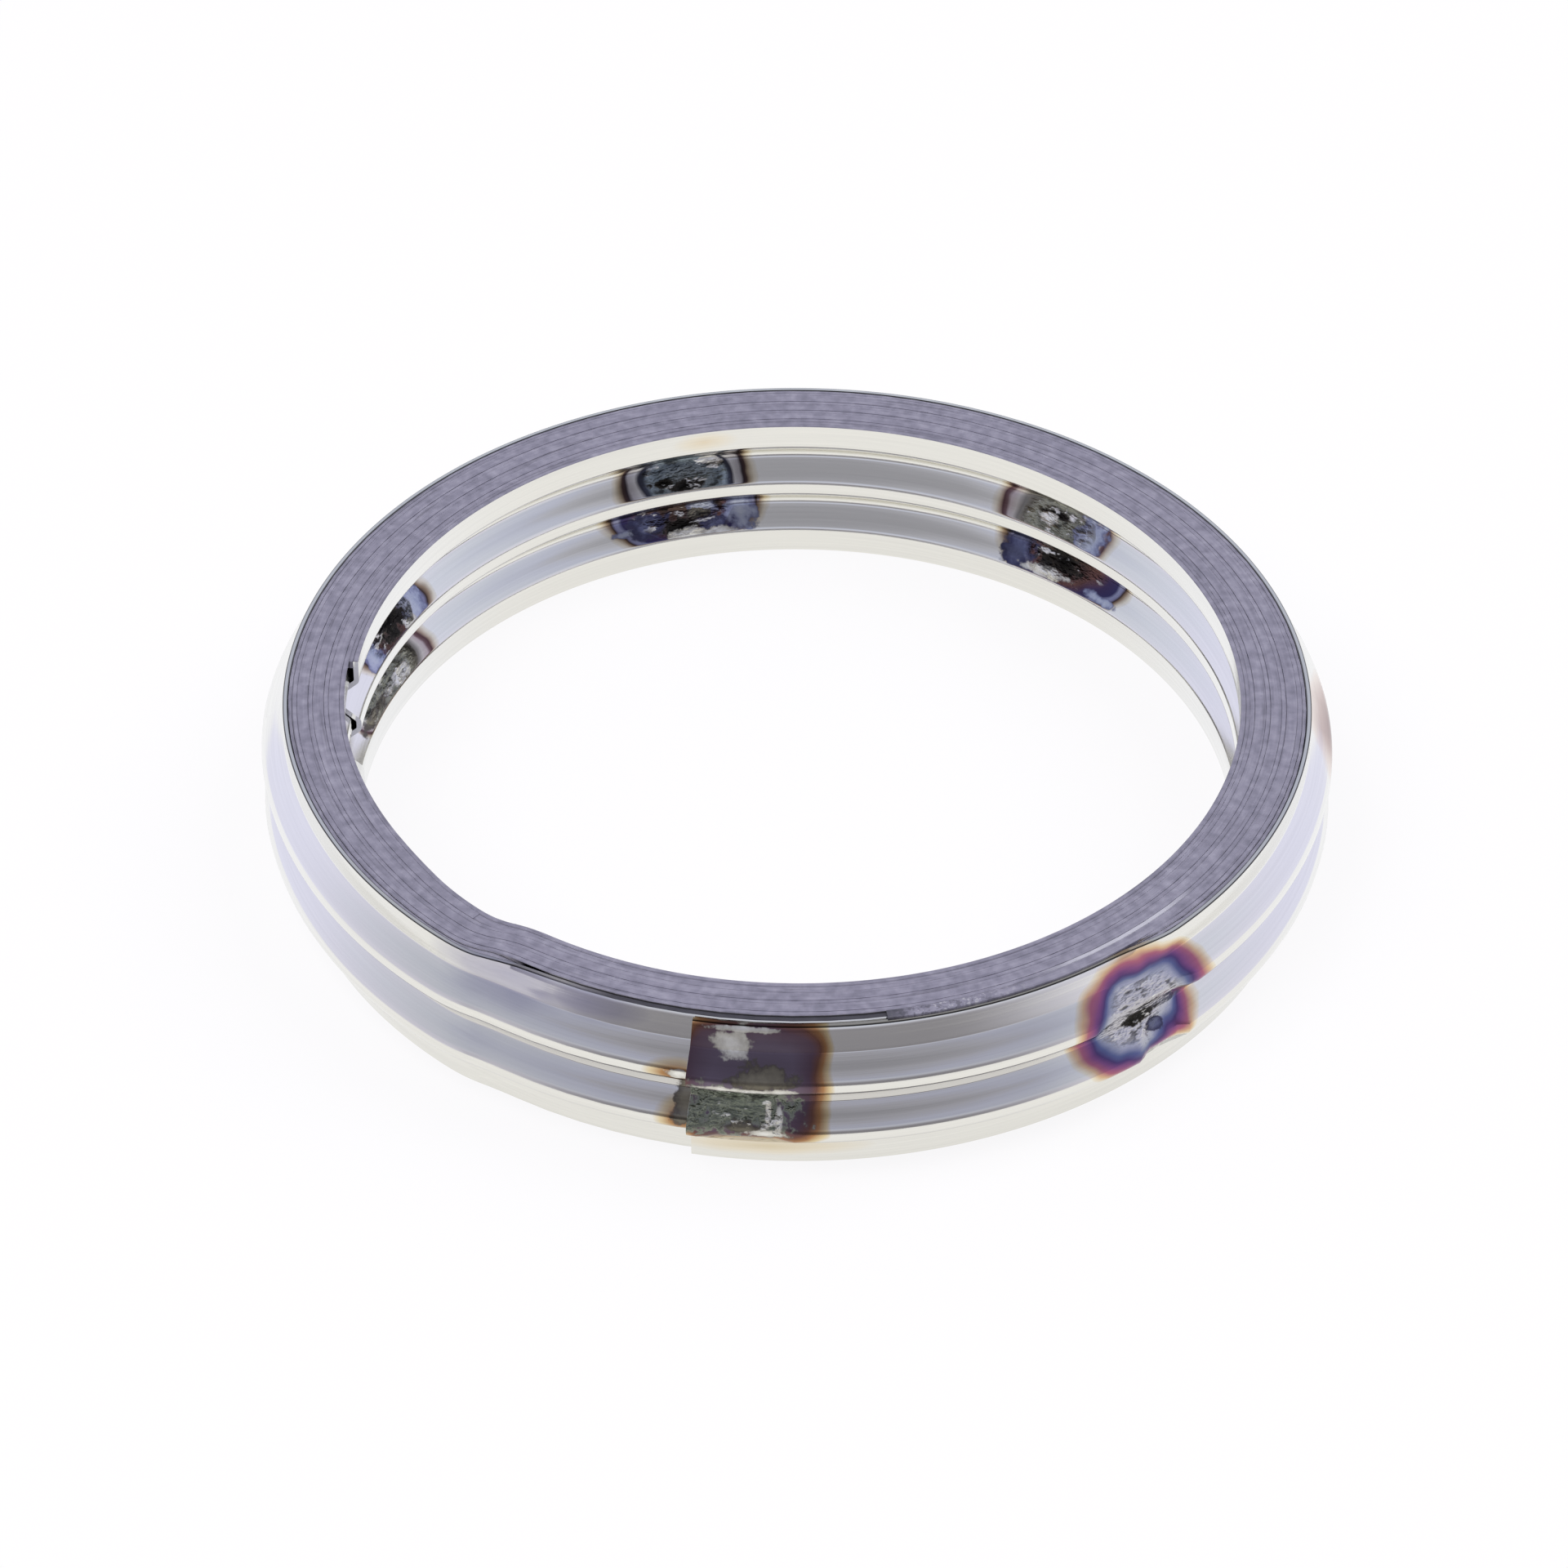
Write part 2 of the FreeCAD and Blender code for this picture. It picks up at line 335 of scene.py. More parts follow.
def spin_along(outline, start, normal, arcs):
    """Spins an outline along every arc of a path, then joins the stretches and closes the two ends."""
    stretches = []
    for centre, sweep, middle in arcs:
        stretch = add_loop(outline, start, normal)
        step = FINE_STEP if middle < 360 or middle > 360 * OUTER_LAYER else COARSE_STEP
        count = math.ceil(abs(math.degrees(sweep)) / step)
        set_mode("EDIT")
        bpy.ops.mesh.select_all(action="SELECT")
        bpy.ops.mesh.spin(steps=count, dupli=False, angle=-sweep, center=centre, axis=UP)
        set_mode("OBJECT")
        mark_places(stretch.data, middle)
        rotation = Matrix.Rotation(sweep, 3, "Z")
        start = centre + rotation @ (start - centre)
        normal = rotation @ normal
        stretches.append(stretch)
    deselect_all()
    for stretch in stretches:
        stretch.select_set(True)
    bpy.context.view_layer.objects.active = stretches[0]
    bpy.ops.object.join()
    set_mode("EDIT")
    bpy.ops.mesh.select_all(action="SELECT")
    bpy.ops.mesh.remove_doubles(threshold=JOIN_GAP)
    bpy.ops.mesh.select_all(action="DESELECT")
    bpy.ops.mesh.select_non_manifold(extend=False)
    bpy.ops.mesh.fill_holes(sides=0)
    bpy.ops.mesh.select_all(action="SELECT")
    bpy.ops.mesh.normals_make_consistent(inside=False)
    set_mode("OBJECT")
    return stretches[0]


# The two outer turns' upper land leans inwards between these round_ angles, where the tape has ended. The lean
# fades at each end, and it sets in over the height LEAN_BEND at the land's foot.
LEAN_FROM, LEAN_TO = -128.0, -45.0
LEAN_FADE = 9.0
LEAN_ANGLE = math.radians(24)
LEAN_BEND = 0.3 * MM


def smooth(value):
    """The value between 0 and 1, with soft ends."""
    value = min(1.0, max(0.0, value))
    return value * value * (3 - 2 * value)


def lean_share(round_angle):
    """How far the land leans there: 0 not at all, 1 fully."""
    rise = smooth((round_angle - LEAN_FROM) / LEAN_FADE)
    fall = smooth((LEAN_TO - round_angle) / LEAN_FADE)
    return min(rise, fall)


def lean_inwards(vertex, sizes):
    """Moves a point of an upper land as far as the land leans there."""
    angle = LEAN_ANGLE * lean_share(round_angle_of(vertex.co))
    height = max(0.0, vertex.co.z - (cad_high.z - sizes.land_height))
    bent = height * min(1.0, height / LEAN_BEND)
    vertex.co -= away_from_axis(vertex.co) * bent * math.sin(angle)
    vertex.co.z -= bent * (1 - math.cos(angle))


def lean_land(ribbon, sizes):
    """Leans the upper land of the two outer turns inwards."""
    mesh = ribbon.data
    wound = mesh.attributes["wound"].data
    for vertex in mesh.vertices:
        if wound[vertex.index].value >= sizes.filler_turns + 1:
            lean_inwards(vertex, sizes)
    mesh.update()


# Where the welding tips pressed the last turn's beads flatter: round_ angle, height, half-length along the strip,
# half-height and depth, all but the angle in millimetres. The turn stays outside the one below it. Each press is
# flat in its middle and slopes towards its rim, the steeper the higher PRESS_SLOPE is.
PRESSES = ((-51.0, 4.3, 2.5, 1.3, 0.33), (-48.3, 2.0, 1.2, 1.0, 0.33), (-95.0, 2.1, 1.9, 1.1, 0.25))
PRESS_SLOPE = 1.6


def press_beads(ribbon, sizes):
    """Presses the last turn's beads flatter at its welds."""
    mesh = ribbon.data
    wound = mesh.attributes["wound"].data
    last_turn = sizes.filler_turns + 2
    root = run_radius(sizes, last_turn) + sizes.strip_thickness / 2
    for vertex in mesh.vertices:
        if wound[vertex.index].value < last_turn:
            continue
        radius = vertex.co.xy.length
        pressed = 0
        for round_angle, level, half_along, half_up, depth in PRESSES:
            across = math.radians(round_angle_of(vertex.co) - round_angle) * radius / (half_along * MM)
            upward = (vertex.co.z - level * MM) / (half_up * MM)
            pressed = max(pressed, depth * MM * smooth(PRESS_SLOPE * (1 - across ** 2 - upward ** 2)))
        vertex.co -= away_from_axis(vertex.co) * min(pressed, max(0.0, radius - root))
    mesh.update()


def rgb(hex_colour):
    """Linear colour from an sRGB hex value such as B0A090."""
    channels = [int(hex_colour[i:i + 2], 16) / 255 for i in (0, 2, 4)]
    return tuple(c / 12.92 if c <= 0.04045 else ((c + 0.055) / 1.055) ** 2.4 for c in channels) + (1.0,)


def add_node(tree, kind, settings=None):
    """Adds a node. Settings are its attributes, or its inputs with a plain value or a socket to link."""
    node = tree.nodes.new(kind)
    for name, value in (settings or {}).items():
        if isinstance(value, bpy.types.NodeSocket):
            tree.links.new(value, node.inputs[name])
        elif isinstance(name, str) and hasattr(node, name):
            setattr(node, name, value)
        else:
            node.inputs[name].default_value = value
    return node


def new_material(name):
    material = bpy.data.materials.new(name)
    material.use_nodes = True
    material.node_tree.nodes.clear()
    return material, material.node_tree


# Marks that the welds leave, with painted highlights, the bright spots, and painted shade, the dark pits, among
# them: their kind, the layer they lie on, then for each mark its round_ angle, its height, its half-length along
# the strip and its half-height, all but the angle in millimetres. A later mark lies over an earlier one. The
# layers are the outermost layer's outside, the last turn, what of the outermost layer lies under it, and the
# first turn's inside, as a whole or only its grooves.
WELD_MARKS = (
    ("haze", "outside", ((-123.0, 5.9, 3.4, 1.1), (-113.0, 5.9, 2.6, 0.7))),
    ("arc", "outside", ((-51.0, 3.8, 3.3, 2.65),)),
    ("navy", "outside", ((-48.6, 2.55, 0.5, 0.22),)),
    # Pits: dark spots of painted shade in hollows
    ("pit", "outside", ((-50.3, 3.1, 0.85, 0.26), (-51.0, 4.2, 0.6, 0.08))),
    ("blush", "outside", ((0.5, 4.2, 3.3, 1.2),)),
    ("scorch", "under it", ((-102.0, 4.35, 1.3, 0.55), (-101.8, 2.1, 1.0, 0.8))),
    ("lens", "under it", ((-101.6, 2.7, 0.4, 0.9),)),
    # Painted highlights: bright spots of bare steel over the darker weld colours
    ("highlight", "under it", ((-102.1, 4.4, 0.45, 0.22),)),
    ("patch", "last turn", ((-94.6, 4.1, 2.9, 2.9),)),
    ("glow", "last turn", ((-93.0, 0.75, 4.0, 0.5),)),
    ("nugget", "last turn", ((-95.6, 3.05, 2.1, 1.35),)),
    ("lens", "last turn", ((-93.4, 4.65, 1.2, 0.42), (-95.3, 2.15, 0.8, 0.25))),
    # Painted highlights: bright spots of bare steel over the darker weld colours
    ("highlight", "last turn", ((-96.7, 5.6, 0.75, 0.45), (-95.2, 6.15, 1.3, 0.14), (-97.3, 4.2, 0.9, 0.16),
                            (-94.2, 4.15, 1.0, 0.14), (-91.3, 4.15, 0.7, 0.22), (-91.6, 2.5, 0.15, 0.5),
                            (-92.7, 2.55, 0.12, 0.4), (-93.2, 1.95, 0.8, 0.18))),
    ("straw", "inside", ((103.0, 5.8, 1.6, 0.5),)),
    ("ringed", "groove", ((105.4, 3.75, 3.5, 1.55),)),
    ("olive", "groove", ((52.7, 3.75, 3.35, 1.5), (157.6, 1.6, 3.6, 1.5), (164.5, 1.6, 1.9, 0.9))),
    ("burnt", "groove", ((105.6, 1.9, 4.0, 1.45), (51.8, 1.85, 3.8, 1.45), (157.6, 3.85, 3.4, 1.5))),
    ("lobe", "groove", ((47.2, 3.75, 0.9, 0.8), (102.6, 1.9, 0.7, 0.5), (97.8, 1.7, 0.8, 0.8),
                        (44.6, 1.25, 1.0, 0.14), (112.5, 1.5, 1.2, 0.12), (151.8, 3.8, 0.9, 1.0),
                        (163.5, 3.7, 0.8, 0.8))),
    ("navy", "groove", ((59.0, 1.6, 0.9, 0.7), (110.5, 1.6, 1.0, 0.4), (101.8, 1.3, 0.8, 0.3))),
    # Pits: dark spots of painted shade in hollows
    ("pit", "groove", ((105.4, 3.6, 0.9, 0.2), (108.5, 3.75, 0.8, 0.12), (53.4, 4.0, 0.9, 0.12),
                       (52.4, 1.7, 1.2, 0.35), (106.0, 1.35, 0.9, 0.3), (157.0, 4.0, 1.3, 0.5),
                       (158.0, 1.85, 0.9, 0.22))),
    ("lens", "groove", ((165.5, 1.3, 1.5, 0.14), (103.5, 1.7, 0.8, 0.15))),
    # Painted highlights: bright spots of bare steel over the darker weld colours
    ("highlight", "groove", ((101.7, 4.25, 0.5, 0.22), (54.2, 3.8, 0.5, 0.18), (54.0, 1.25, 1.2, 0.18),
                         (105.0, 1.15, 1.0, 0.2), (100.5, 1.15, 0.9, 0.14), (154.0, 3.5, 0.5, 0.15),
                         (156.5, 1.3, 1.2, 0.2))),
)
# The radius at which a mark's length is measured, and the radii past which the first turn's inside is a groove
MARK_RADIUS = 19.0 * MM
GROOVE_RADII = (17.03 * MM, 17.09 * MM)

# Colours from the rim of each kind of mark (0) to its middle (1), as heat leaves them on stainless; the
# highlights are painted highlights and the pits' dark is painted shade
TINTS = {
    "haze": ((0.0, "FFFFFF"), (0.5, "D6D5E4"), (1.0, "C8C7DC")),
    "arc": ((0.0, "FFFFFF"), (0.05, "FBF0DC"), (0.11, "E6C2A0"), (0.18, "B7708A"), (0.26, "8F5C90"),
            (0.33, "5C4C80"), (0.39, "6C75A4"), (0.46, "B9BDD2"), (0.55, "D6D6E2"), (1.0, "CFCCD2")),
    "patch": ((0.0, "FFFFFF"), (0.06, "F1DDB4"), (0.14, "B98A62"), (0.21, "7C5850"), (0.29, "6E5A6A"),
              (0.50, "7E7286"), (1.0, "766C7C")),
    "glow": ((0.0, "FFFFFF"), (0.5, "FBF2E2"), (1.0, "F0E3CA")),
    "nugget": ((0.0, "7A6A80"), (0.1, "645A62"), (0.25, "959A90"), (0.4, "787E76"), (0.6, "989E94"),
               (0.8, "7C827A"), (1.0, "8A9186")),
    "lens": ((0.0, "7A727C"), (0.2, "5C5654"), (0.5, "78736A"), (1.0, "8A8579")),
    "scorch": ((0.0, "FFFFFF"), (0.25, "F3E2C0"), (0.6, "C09468"), (1.0, "7E5A48")),
    "blush": ((0.0, "FFFFFF"), (0.12, "F8EEEA"), (0.4, "D4C2C0"), (0.7, "B2A0A2"), (1.0, "A29498")),
    "ringed": ((0.0, "FFFFFF"), (0.07, "F0E8D8"), (0.13, "B4A48E"), (0.17, "4A3A38"), (0.21, "3A3238"),
               (0.25, "B4B0B6"), (0.35, "CFCDD0"), (0.40, "3C3C4A"), (0.45, "444856"), (0.51, "94A0AC"),
               (0.63, "6C7680"), (0.75, "8C959C"), (1.0, "6E7274")),
    "olive": ((0.0, "FFFFFF"), (0.07, "F0E8D8"), (0.13, "BCA898"), (0.17, "5E4448"), (0.22, "7A6266"),
              (0.26, "C8BABC"), (0.33, "CFC8C4"), (0.40, "8C8884"), (0.48, "726F69"), (0.58, "A8A99E"),
              (0.68, "7F8078"), (0.82, "989A90"), (1.0, "868880")),
    "burnt": ((0.0, "FFFFFF"), (0.07, "F0E8D8"), (0.13, "A08A76"), (0.17, "40302E"), (0.21, "8C8CAC"),
              (0.25, "9496B4"), (0.29, "403C64"), (0.42, "4A3E60"), (0.55, "705250"), (0.72, "5A4644"),
              (1.0, "62524C")),
    "lobe": ((0.0, "6A6884"), (0.3, "8286A6"), (0.6, "B0B6D0"), (1.0, "C4CADC")),
    "navy": ((0.0, "5A586C"), (0.4, "484866"), (1.0, "6C7090")),
    "pit": ((0.0, "6A6664"), (0.3, "363331"), (1.0, "1C1B1A")),
    "highlight": ((0.0, "A8A4A2"), (0.4, "DCDAD6"), (1.0, "FFFFFF")),
    "straw": ((0.0, "FFFFFF"), (0.5, "FFF8EC"), (1.0, "FBEEDA")),
}
WHITE = "FFFFFF"
SQUARE_KINDS = ("patch", "nugget")
RAGGED_KINDS = ("nugget", "lens", "lobe", "navy", "pit", "highlight")
MELTED_KINDS = ("arc", "nugget", "ringed", "olive", "burnt")

# The noise by which a mark's rim wavers: its size, detail and roughness, then its strength and its offset
SMOOTH_RIM, SMOOTH_RIM_DEPTH = (1.6 * MM, 2.0, 0.4), (0.3, -0.15)
RAGGED_RIM, RAGGED_RIM_DEPTH = (0.5 * MM, 3.0, 0.6), (2.0, -0.9)

# Depths in a mark, 0 at its rim and 1 in its middle, over which its colour sets in, the patch gets dirty, and the
# steel gets rough and melted
SMOOTH_ONSET, RAGGED_ONSET = (0.0, 0.03), (0.0, 0.35)
DIRTY_DEPTHS = (0.1, 0.3)
ROUGH_DEPTHS = (0.1, 0.6)
MELTED_DEPTHS = (0.4, 0.6)


def set_stops(ramp, stops):
    """Gives a colour ramp these positions and sRGB colours."""
    elements = ramp.color_ramp.elements
    elements[0].position, elements[0].color = stops[0][0], rgb(stops[0][1])
    elements[1].position, elements[1].color = stops[-1][0], rgb(stops[-1][1])
    for position, colour in stops[1:-1]:
        elements.new(position).color = rgb(colour)


def math_node(tree, operation, *values):
    """A number worked out from sockets and plain numbers."""
    return add_node(tree, "ShaderNodeMath", {"operation": operation, **dict(enumerate(values))}).outputs[0]


def product(tree, *values):
    """The product of numbers, each a socket or plain."""
    result = values[0]
    for value in values[1:]:
        result = math_node(tree, "MULTIPLY", result, value)
    return result


def round_place(tree):
    """Object coordinates of a point, then its radius, its angle in radians and its height."""
    place = add_node(tree, "ShaderNodeTexCoord").outputs["Object"]
    axes = add_node(tree, "ShaderNodeSeparateXYZ", {0: place})
    flat = add_node(tree, "ShaderNodeVectorMath", {"operation": "MULTIPLY", 0: place, 1: (1, 1, 0)})
    radius = add_node(tree, "ShaderNodeVectorMath", {"operation": "LENGTH", 0: flat.outputs[0]})
    angle = math_node(tree, "ARCTAN2", axes.outputs["Y"], axes.outputs["X"])
    return place, radius.outputs["Value"], angle, axes.outputs["Z"]


def weld_heat(tree, angle, level, welds, square):
    """How deep a point lies in the nearest of these marks: 0 at its rim, 1 in its middle."""
    nearest = None
    for round_angle, height, half_along, half_up in welds:
        across = math_node(tree, "SUBTRACT", angle, math.radians(round_angle))
        across = product(tree, across, MARK_RADIUS / (half_along * MM))
        upward = math_node(tree, "SUBTRACT", level, height * MM)
        upward = math_node(tree, "DIVIDE", upward, half_up * MM)
        if square:
            across = product(tree, across, across)
            upward = product(tree, upward, upward)
        pair = add_node(tree, "ShaderNodeCombineXYZ", {0: across, 1: upward}).outputs[0]
        reach = add_node(tree, "ShaderNodeVectorMath", {"operation": "LENGTH", 0: pair}).outputs["Value"]
        if square:
            reach = math_node(tree, "SQRT", reach)
        depth = math_node(tree, "SUBTRACT", 1.0, reach)
        nearest = depth if nearest is None else math_node(tree, "MAXIMUM", nearest, depth)
    return nearest


def noise(tree, place, size, detail=2.0, roughness=0.5):
    """Noise whose grains are about this many metres across."""
    settings = {"Vector": place, "Scale": 1 / size, "Detail": detail, "Roughness": roughness}
    return add_node(tree, "ShaderNodeTexNoise", settings).outputs[0]


STREAK_DETAIL, STREAK_ROUGHNESS = 3.0, 0.6


def streaks(tree, radius, angle, height, width, ratio):
    """Noise drawn out round the ring: lines about this wide and ratio times as long."""
    stretched = product(tree, angle, cad_high.x / ratio)
    place = add_node(tree, "ShaderNodeCombineXYZ", {0: stretched, 1: radius, 2: height}).outputs[0]
    return noise(tree, place, width, STREAK_DETAIL, STREAK_ROUGHNESS)


def steps(tree, value, low, high):
    """The share between two limits: 0 up to low, 1 from high on and a smooth rise between them."""
    settings = {"interpolation_type": "SMOOTHSTEP", 0: value, 1: low, 2: high}
    return add_node(tree, "ShaderNodeMapRange", settings).outputs[0]


def stretch_of_ring(tree, angle, first, last):
    """The share between two pairs of round_ angles: it rises over the first and falls over the last."""
    return product(tree, *(steps(tree, angle, *map(math.radians, limits)) for limits in (first, last)))


def mixed(tree, share, first, second, blend="MIX"):
    """A colour between two colours, each a socket or a plain colour."""
    settings = {"data_type": "RGBA", "blend_type": blend, 0: share, 6: first, 7: second}
    return add_node(tree, "ShaderNodeMix", settings).outputs[2]


def tinted_by(tree, colour, tint):
    """A colour multiplied by another one."""
    return mixed(tree, 1.0, colour, tint, "MULTIPLY")


def add_surface(tree, colour, metal, roughness, relief, bump):
    """Ends a material: its shader and its output. A bump is the strength and the distance of its relief."""
    strength, distance = bump
    normal = add_node(tree, "ShaderNodeBump", {"Strength": strength, "Distance": distance, "Height": relief})
    shader = add_node(tree, "ShaderNodeBsdfPrincipled", {
        "Base Color": colour, "Metallic": metal, "Roughness": roughness, "Normal": normal.outputs[0]})
    add_node(tree, "ShaderNodeOutputMaterial", {"Surface": shader.outputs["BSDF"]})


# Rubbed graphite: its lines and its scratches, each a width and how many times as long they are, its grain as a
# size and a detail, how strongly grain and lines count in its shade, and which scratches are dark and how dark
GRAPHITE_LINES = (0.13 * MM, 36)
GRAPHITE_SCRATCHES = (0.3 * MM, 20)
GRAPHITE_GRAIN = (0.4 * MM, 3.0)
GRAIN_SHARE, LINE_SHARE = 0.62, 0.43
DARK_SCRATCHES, SCRATCH_SHARE = (0.60, 0.68), 0.3
GRAPHITE_SHADES = ((0.32, "656370"), (0.52, "797684"), (0.75, "8E8B98"))
GRAPHITE_ROUGHNESS = 0.55
GRAPHITE_BUMP = (0.3, 0.05 * MM)


def rubbed_graphite(tree, place, radius, angle, height):
    """Colour and relief of graphite that is rubbed round the ring: fine lines, a soft grain, dark scratches."""
    lines = streaks(tree, radius, angle, height, *GRAPHITE_LINES)
    scratches = streaks(tree, radius, angle, height, *GRAPHITE_SCRATCHES)
    grain = noise(tree, place, *GRAPHITE_GRAIN)
    shade = math_node(tree, "MULTIPLY_ADD", grain, GRAIN_SHARE, product(tree, lines, LINE_SHARE))
    ramp = add_node(tree, "ShaderNodeValToRGB", {0: shade})
    set_stops(ramp, GRAPHITE_SHADES)
    dark = product(tree, steps(tree, scratches, *DARK_SCRATCHES), SCRATCH_SHARE)
    colour = mixed(tree, dark, ramp.outputs[0], rgb("3A3840"))
    return colour, math_node(tree, "SUBTRACT", shade, dark)


# Rolled steel: its lines and the crumpling of melted steel, each a width and how many times as long they are, the
# size and the detail of its slow ripple, and how strongly each counts in its relief
STEEL_LINES, LINE_RELIEF = (0.1 * MM, 120), 0.012
CRUMPLE, CRUMPLE_RELIEF = (0.4 * MM, 2.5), 3.0
RIPPLE, RIPPLE_RELIEF = (4.0 * MM, 1.0), 0.25
STEEL_BUMP = (0.5, 0.2 * MM)

# Its roughness, and what melting and dirt add to it
STEEL_ROUGHNESS, MELTED_ROUGHNESS, DIRTY_ROUGHNESS = 0.13, 0.16, 0.22

# Painted light on melted steel: the limits of crumpling above which it gets painted highlights, silver glints,
# and below which painted shade, black, in the crumpling's hollows, each with its share
PAINTED_GLINTS, PAINTED_GLINTS_SHARE = (0.58, 0.66), 0.85
HOLLOW_SHADE, HOLLOW_SHADE_SHARE = (0.44, 0.36), 0.75

# How much the darkening and the shine change the colour of the upper edge
DARK_EDGE_SHARE, SHINE_SHARE = 0.85, 0.5

# Painted light: the strip is faintly warmed, as by warm light from the front, on the near side outside and on
# the far side inside, by the sine of the angle.
FRONT_LIGHT_SIDE = (0.3, 0.85)

# Painted shade: where the flanks of the outermost layer's beads are darkened, on the near side round the ring and
# up the axis, their reflections painted darker. Its lands and its crests, which lie furthest out across the
# section, stay bright.
FLANK_SHADE_FROM, FLANK_SHADE_TO = (-158.0, -118.0), (-54.0, -66.0)
FLANK_SHADE_FOOT, FLANK_SHADE_TOP = (0.9 * MM, 1.1 * MM), (5.5 * MM, 5.25 * MM)
BRIGHT_CREST = (0.99 * MM, 0.92 * MM)

# How far from the middle of the land's thickness the painted shade on the corners of its sheared edge begins and
# is darkest
EDGE_CORNER_SHADE = (0.045 * MM, 0.07 * MM)


def steel_layers(tree, wound, radius):
    """The shares of the strip that the marks lie on, by name."""
    outside = math_node(tree, "GREATER_THAN", wound, OUTER_LAYER)
    inside = math_node(tree, "LESS_THAN", wound, 1.0)
    return {
        "outside": outside, "last turn": math_node(tree, "GREATER_THAN", wound, LAST_TURN),
        "under it": product(tree, outside, math_node(tree, "LESS_THAN", wound, LAST_TURN)),
        "inside": inside, "groove": product(tree, steps(tree, radius, *GROOVE_RADII), inside),
    }


def steel_with_painted_light(tree, lines, layers, angle, level, across):
    """Colours of bare steel: with a painted warm light on the sides that face the front, then also with painted
    shade on the near flanks.
    """
    steel = mixed(tree, lines, rgb("E6E6E6"), rgb("F7F7F6"))
    # Painted light: a warm tint on the sides of the strip that face the front
    facing = math_node(tree, "MULTIPLY_ADD", layers["inside"], 2.0, -1.0)
    side = product(tree, math_node(tree, "SINE", angle), facing)
    steel = mixed(tree, steps(tree, side, *FRONT_LIGHT_SIDE), steel, tinted_by(tree, steel, rgb("F6F4ED")))
    # Painted shade: the near flanks darkened, their reflections painted darker
    flank_shaded = product(tree, layers["outside"], steps(tree, across, *BRIGHT_CREST),
                      stretch_of_ring(tree, angle, FLANK_SHADE_FROM, FLANK_SHADE_TO),
                      steps(tree, level, *FLANK_SHADE_FOOT), steps(tree, level, *FLANK_SHADE_TOP))
    return steel, mixed(tree, flank_shaded, steel, tinted_by(tree, steel, rgb("E3E2E3")))


def mark_welds(tree, place, angle, level, layers, steel, flank_shaded):
    """The colour of the steel with its marks, how deep it lies in a melted one, and how dirty it is. Marks that
    fade out at their rim lie on the painted flank shade, the others replace it."""
    rims = {
        False: math_node(tree, "MULTIPLY_ADD", noise(tree, place, *SMOOTH_RIM), *SMOOTH_RIM_DEPTH),
        True: math_node(tree, "MULTIPLY_ADD", noise(tree, place, *RAGGED_RIM), *RAGGED_RIM_DEPTH),
    }
    colour, molten, dirty = flank_shaded, 0.0, 0.0
    for kind, layer, marks in WELD_MARKS:
        ragged = kind in RAGGED_KINDS
        heat = weld_heat(tree, angle, level, marks, kind in SQUARE_KINDS)
        heat = product(tree, math_node(tree, "ADD", heat, rims[ragged]), layers[layer])
        tint = add_node(tree, "ShaderNodeValToRGB", {0: heat})
        set_stops(tint, TINTS[kind])
        under = flank_shaded if TINTS[kind][0][1] == WHITE else steel
        onset = steps(tree, heat, *(RAGGED_ONSET if ragged else SMOOTH_ONSET))
        colour = mixed(tree, onset, colour, tinted_by(tree, under, tint.outputs[0]))
        if kind in MELTED_KINDS:
            molten = math_node(tree, "MAXIMUM", molten, heat)
        if kind == "patch":
            dirty = steps(tree, heat, *DIRTY_DEPTHS)
    return colour, molten, dirty


def rub_upper_edges(tree, bare, graphite, wound, level, across):
    """The colour with its upper edges, and how far graphite covers it. The edges are sheared and grey, with
    painted shade on their corners, dulled by graphite in the face and made near black where the outer turn is
    welded on."""
    on_edge = math_node(tree, "GREATER_THAN", level, cad_high.z - EDGE_ROUNDING)
    # Painted shade: the sheared edge darkens towards its corners
    corner = steps(tree, math_node(tree, "ABSOLUTE", across), *EDGE_CORNER_SHADE)
    sheared = tinted_by(tree, bare, mixed(tree, corner, rgb("E6E5DF"), rgb("5E5D5C")))
    bare = mixed(tree, on_edge, bare, sheared)
    # The upper edge is made near black between these places
    dark_edge = product(tree, steps(tree, wound, *DARK_EDGE_FROM), steps(tree, wound, *DARK_EDGE_TO))
    shiny = product(tree, steps(tree, wound, *SHINE_FROM), steps(tree, wound, *SHINE_TO))
    dull = mixed(tree, product(tree, dark_edge, DARK_EDGE_SHARE), graphite, rgb("1E1D20"))
    dull = mixed(tree, product(tree, shiny, SHINE_SHARE), dull, rgb("C9C8CE"))
    inner_layers = math_node(tree, "LESS_THAN", wound, OUTER_LAYER)
    smeared = product(tree, on_edge, math_node(tree, "MAXIMUM", inner_layers, dark_edge))
    return mixed(tree, smeared, bare, dull), smeared


